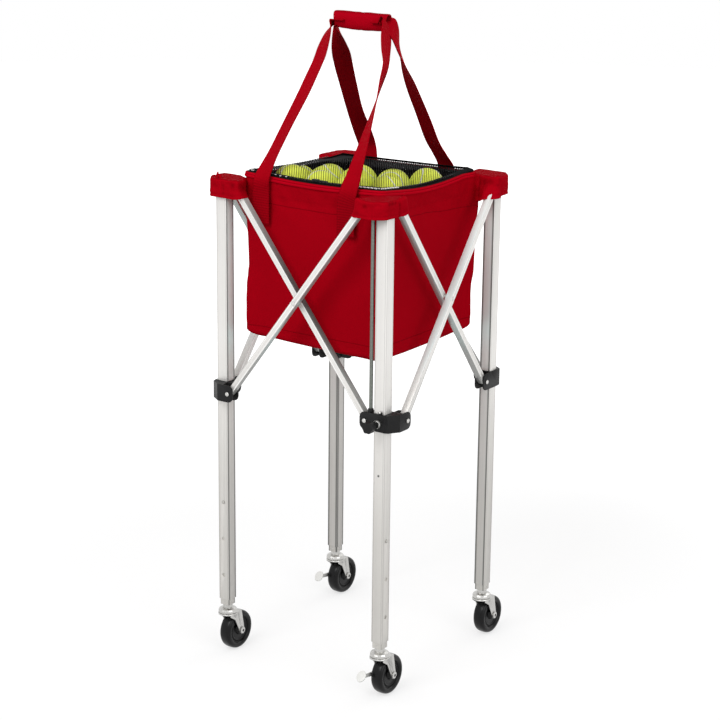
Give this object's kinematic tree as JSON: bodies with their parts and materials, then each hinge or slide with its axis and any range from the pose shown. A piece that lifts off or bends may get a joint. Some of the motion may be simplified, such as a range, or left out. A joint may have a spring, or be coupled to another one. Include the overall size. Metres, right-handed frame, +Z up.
{
  "type": "tennis ball cart",
  "caption": "Folding wheeled cart: square telescoping legs and scissor bars carry a soft bag of tennis balls under a zipped mesh lid, with a strap handle.",
  "frame": {"origin": "on the floor, midway between the four legs", "axes": "+Z up; the front, -Y, is the side between the front left and front right legs, where the lock knob is; +X to the right seen from the front"},
  "size_m": [0.4264, 0.4634, 1.2132],
  "materials": {
    "anodised_aluminium": "satin clear anodised",
    "inner_aluminium": "satin clear anodised",
    "spring_steel": "bright",
    "black_nylon": "moulded, slight sheen",
    "bright_zinc": "zinc plated",
    "wheel_black": "smooth, slight gloss",
    "pale_tab": "pale, satin",
    "grey_rod": "satin grey",
    "red_cloth": "woven polyester",
    "red_piping": "corded edge",
    "red_webbing": "flat woven webbing",
    "red_grip": "knitted sleeve",
    "black_net": "fine open net"
  },
  "bodies": {
    "leg_front_left": {"leg_outer_front_left": "anodised_aluminium", "top_bracket_front_left": "black_nylon"},
    "foot_front_left": {"leg_inner_front_left": "inner_aluminium", "caster_stem_front_left": "bright_zinc"},
    "clip_front_left": {"snap_clip_front_left": "spring_steel"},
    "slider_front_left": {"slider_front_left": "black_nylon"},
    "swivel_front_left": {"caster_fork_front_left": "bright_zinc", "axle_front_left": "bright_zinc"},
    "wheel_front_left": {"wheel_front_left": "wheel_black"},
    "leg_front_right": {"leg_outer_front_right": "anodised_aluminium", "top_bracket_front_right": "black_nylon"},
    "foot_front_right": {"leg_inner_front_right": "inner_aluminium", "caster_stem_front_right": "bright_zinc"},
    "clip_front_right": {"snap_clip_front_right": "spring_steel"},
    "slider_front_right": {"slider_front_right": "black_nylon", "lock_rod": "grey_rod"},
    "swivel_front_right": {"caster_fork_front_right": "bright_zinc", "axle_front_right": "bright_zinc"},
    "wheel_front_right": {"wheel_front_right": "wheel_black"},
    "brake_front_right": {"brake_lever_front_right": "pale_tab"},
    "leg_rear_right": {"leg_outer_rear_right": "anodised_aluminium", "top_bracket_rear_right": "black_nylon"},
    "foot_rear_right": {"leg_inner_rear_right": "inner_aluminium", "caster_stem_rear_right": "bright_zinc"},
    "clip_rear_right": {"snap_clip_rear_right": "spring_steel"},
    "slider_rear_right": {"slider_rear_right": "black_nylon"},
    "swivel_rear_right": {"caster_fork_rear_right": "bright_zinc", "axle_rear_right": "bright_zinc"},
    "wheel_rear_right": {"wheel_rear_right": "wheel_black"},
    "leg_rear_left": {"leg_outer_rear_left": "anodised_aluminium", "top_bracket_rear_left": "black_nylon"},
    "foot_rear_left": {"leg_inner_rear_left": "inner_aluminium", "caster_stem_rear_left": "bright_zinc"},
    "clip_rear_left": {"snap_clip_rear_left": "spring_steel"},
    "slider_rear_left": {"slider_rear_left": "black_nylon"},
    "swivel_rear_left": {"caster_fork_rear_left": "bright_zinc", "axle_rear_left": "bright_zinc"},
    "wheel_rear_left": {"wheel_rear_left": "wheel_black"},
    "brake_rear_left": {"brake_lever_rear_left": "pale_tab"},
    "inner_bar_front": {"bar_inner_front": "anodised_aluminium"},
    "outer_bar_front": {"bar_outer_front": "anodised_aluminium", "bar_pivot_front": "bright_zinc"},
    "inner_bar_right": {"bar_inner_right": "anodised_aluminium"},
    "outer_bar_right": {"bar_outer_right": "anodised_aluminium", "bar_pivot_right": "bright_zinc"},
    "inner_bar_rear": {"bar_inner_rear": "anodised_aluminium"},
    "outer_bar_rear": {"bar_outer_rear": "anodised_aluminium", "bar_pivot_rear": "bright_zinc"},
    "inner_bar_left": {"bar_inner_left": "anodised_aluminium"},
    "outer_bar_left": {"bar_outer_left": "anodised_aluminium", "bar_pivot_left": "bright_zinc"},
    "lock_knob": {"lock_knob": "black_nylon"},
    "bag": {"bag_shell": "red_cloth", "bag_piping": "red_piping", "handle_strap_front": "red_webbing", "handle_strap_rear": "red_webbing", "grip_wrap": "red_grip"},
    "lid": {"mesh_lid": "black_net"},
    "zip_pull": {"zip_pull": "black_nylon"}
  },
  "joints": [
    {"name": "fold", "type": "hinge", "parent": "leg_front_left", "child": "inner_bar_front", "pos_m": [-0.147, -0.176, 0.91], "axis": [0, 1, 0], "range_deg": [0, 31], "deforming": ["bag_shell", "bag_piping", "handle_strap_front", "handle_strap_rear", "grip_wrap"]},
    {"name": "front_crossing", "type": "hinge", "parent": "inner_bar_front", "child": "outer_bar_front", "pos_m": [0, -0.176, 0.718], "axis": [0, 1, 0], "range_deg": [-62, 0]},
    {"name": "front_right_leg_turn", "type": "hinge", "parent": "outer_bar_front", "child": "leg_front_right", "pos_m": [0.147, -0.176, 0.91], "axis": [0, 1, 0], "range_deg": [0, 31]},
    {"name": "front_right_slider_turn", "type": "hinge", "parent": "inner_bar_front", "child": "slider_front_right", "pos_m": [0.147, -0.176, 0.526], "axis": [0, 1, 0], "range_deg": [-31, 0]},
    {"name": "front_left_slider_turn", "type": "hinge", "parent": "outer_bar_front", "child": "slider_front_left", "pos_m": [-0.147, -0.176, 0.526], "axis": [0, 1, 0], "range_deg": [0, 31]},
    {"name": "right_inner_bar_turn", "type": "hinge", "parent": "leg_front_right", "child": "inner_bar_right", "pos_m": [0.176, -0.147, 0.91], "axis": [-1, 0, 0], "range_deg": [0, 31]},
    {"name": "right_crossing", "type": "hinge", "parent": "inner_bar_right", "child": "outer_bar_right", "pos_m": [0.176, 0, 0.718], "axis": [-1, 0, 0], "range_deg": [-62, 0]},
    {"name": "rear_right_leg_turn", "type": "hinge", "parent": "outer_bar_right", "child": "leg_rear_right", "pos_m": [0.176, 0.147, 0.91], "axis": [-1, 0, 0], "range_deg": [0, 31]},
    {"name": "rear_right_slider_turn", "type": "hinge", "parent": "inner_bar_right", "child": "slider_rear_right", "pos_m": [0.176, 0.147, 0.526], "axis": [-1, 0, 0], "range_deg": [-31, 0]},
    {"name": "left_outer_bar_turn", "type": "hinge", "parent": "leg_front_left", "child": "outer_bar_left", "pos_m": [-0.176, -0.147, 0.91], "axis": [1, 0, 0], "range_deg": [-31, 0]},
    {"name": "left_crossing", "type": "hinge", "parent": "outer_bar_left", "child": "inner_bar_left", "pos_m": [-0.176, 0, 0.718], "axis": [1, 0, 0], "range_deg": [0, 62]},
    {"name": "rear_left_leg_turn", "type": "hinge", "parent": "inner_bar_left", "child": "leg_rear_left", "pos_m": [-0.176, 0.147, 0.91], "axis": [1, 0, 0], "range_deg": [-31, 0]},
    {"name": "rear_left_slider_turn", "type": "hinge", "parent": "outer_bar_left", "child": "slider_rear_left", "pos_m": [-0.176, 0.147, 0.526], "axis": [1, 0, 0], "range_deg": [0, 31]},
    {"name": "rear_outer_bar_turn", "type": "hinge", "parent": "leg_rear_left", "child": "outer_bar_rear", "pos_m": [-0.147, 0.176, 0.91], "axis": [0, -1, 0], "range_deg": [-31, 0]},
    {"name": "rear_crossing", "type": "hinge", "parent": "outer_bar_rear", "child": "inner_bar_rear", "pos_m": [0, 0.176, 0.718], "axis": [0, -1, 0], "range_deg": [0, 62]},
    {"name": "bag_lift", "type": "slide", "parent": "leg_front_left", "child": "bag", "axis": [0, 0, 1], "range_m": [0, 0.36]},
    {"name": "lid_open", "type": "slide", "parent": "bag", "child": "lid", "axis": [0, 1, 0], "range_m": [0, 0.25], "deforming": ["mesh_lid"]},
    {"name": "zip_slide", "type": "slide", "parent": "lid", "child": "zip_pull", "axis": [1, 0, 0], "range_m": [0, 0.1]},
    {"name": "lock_pull", "type": "slide", "parent": "slider_front_right", "child": "lock_knob", "axis": [0, -1, 0], "range_m": [0, 0.006], "stiffness_N_per_m": 1500, "springref_m": -0.001},
    {"name": "front_left_extension", "type": "slide", "parent": "leg_front_left", "child": "foot_front_left", "axis": [0, 0, -1], "range_m": [0, 0.146]},
    {"name": "front_left_button", "type": "slide", "parent": "foot_front_left", "child": "clip_front_left", "axis": [0, 1, 0], "range_m": [0, 0.0036], "stiffness_N_per_m": 1500, "springref_m": -0.0005, "deforming": ["snap_clip_front_left"]},
    {"name": "front_left_swivel", "type": "hinge", "parent": "foot_front_left", "child": "swivel_front_left", "pos_m": [-0.176, -0.176, 0.078], "axis": [0, 0, 1], "continuous": true},
    {"name": "front_left_wheel", "type": "hinge", "parent": "swivel_front_left", "child": "wheel_front_left", "pos_m": [-0.176, -0.152, 0.0375], "axis": [1, 0, 0], "continuous": true},
    {"name": "front_right_extension", "type": "slide", "parent": "leg_front_right", "child": "foot_front_right", "axis": [0, 0, -1], "range_m": [0, 0.146]},
    {"name": "front_right_button", "type": "slide", "parent": "foot_front_right", "child": "clip_front_right", "axis": [-1, 0, 0], "range_m": [0, 0.0036], "stiffness_N_per_m": 1500, "springref_m": -0.0005, "deforming": ["snap_clip_front_right"]},
    {"name": "front_right_swivel", "type": "hinge", "parent": "foot_front_right", "child": "swivel_front_right", "pos_m": [0.176, -0.176, 0.078], "axis": [0, 0, 1], "continuous": true},
    {"name": "front_right_wheel", "type": "hinge", "parent": "swivel_front_right", "child": "wheel_front_right", "pos_m": [0.176, -0.152, 0.0375], "axis": [1, 0, 0], "continuous": true},
    {"name": "front_right_brake", "type": "hinge", "parent": "swivel_front_right", "child": "brake_front_right", "pos_m": [0.176, -0.152, 0.0375], "axis": [1, 0, 0], "range_deg": [0, 18]},
    {"name": "rear_right_extension", "type": "slide", "parent": "leg_rear_right", "child": "foot_rear_right", "axis": [0, 0, -1], "range_m": [0, 0.146]},
    {"name": "rear_right_button", "type": "slide", "parent": "foot_rear_right", "child": "clip_rear_right", "axis": [0, -1, 0], "range_m": [0, 0.0036], "stiffness_N_per_m": 1500, "springref_m": -0.0005, "deforming": ["snap_clip_rear_right"]},
    {"name": "rear_right_swivel", "type": "hinge", "parent": "foot_rear_right", "child": "swivel_rear_right", "pos_m": [0.176, 0.176, 0.078], "axis": [0, 0, 1], "continuous": true},
    {"name": "rear_right_wheel", "type": "hinge", "parent": "swivel_rear_right", "child": "wheel_rear_right", "pos_m": [0.176, 0.2, 0.0375], "axis": [1, 0, 0], "continuous": true},
    {"name": "rear_left_extension", "type": "slide", "parent": "leg_rear_left", "child": "foot_rear_left", "axis": [0, 0, -1], "range_m": [0, 0.146]},
    {"name": "rear_left_button", "type": "slide", "parent": "foot_rear_left", "child": "clip_rear_left", "axis": [1, 0, 0], "range_m": [0, 0.0036], "stiffness_N_per_m": 1500, "springref_m": -0.0005, "deforming": ["snap_clip_rear_left"]},
    {"name": "rear_left_swivel", "type": "hinge", "parent": "foot_rear_left", "child": "swivel_rear_left", "pos_m": [-0.176, 0.176, 0.078], "axis": [0, 0, 1], "continuous": true},
    {"name": "rear_left_wheel", "type": "hinge", "parent": "swivel_rear_left", "child": "wheel_rear_left", "pos_m": [-0.176, 0.2, 0.0375], "axis": [1, 0, 0], "continuous": true},
    {"name": "rear_left_brake", "type": "hinge", "parent": "swivel_rear_left", "child": "brake_rear_left", "pos_m": [-0.176, 0.2, 0.0375], "axis": [1, 0, 0], "range_deg": [0, 18]}
  ],
  "couplings": [
    {"joint": "front_crossing", "follows": "fold", "ratio": -2},
    {"joint": "front_right_leg_turn", "follows": "fold", "ratio": 1},
    {"joint": "front_right_slider_turn", "follows": "fold", "ratio": -1},
    {"joint": "front_left_slider_turn", "follows": "fold", "ratio": 1},
    {"joint": "right_inner_bar_turn", "follows": "fold", "ratio": 1},
    {"joint": "right_crossing", "follows": "fold", "ratio": -2},
    {"joint": "rear_right_leg_turn", "follows": "fold", "ratio": 1},
    {"joint": "rear_right_slider_turn", "follows": "fold", "ratio": -1},
    {"joint": "left_outer_bar_turn", "follows": "fold", "ratio": -1},
    {"joint": "left_crossing", "follows": "fold", "ratio": 2},
    {"joint": "rear_left_leg_turn", "follows": "fold", "ratio": -1},
    {"joint": "rear_left_slider_turn", "follows": "fold", "ratio": 1},
    {"joint": "rear_outer_bar_turn", "follows": "fold", "ratio": -1},
    {"joint": "rear_crossing", "follows": "fold", "ratio": 2},
    {"joint": "bag_lift", "follows": "fold", "m_per_rad": 0.6653}
  ]
}
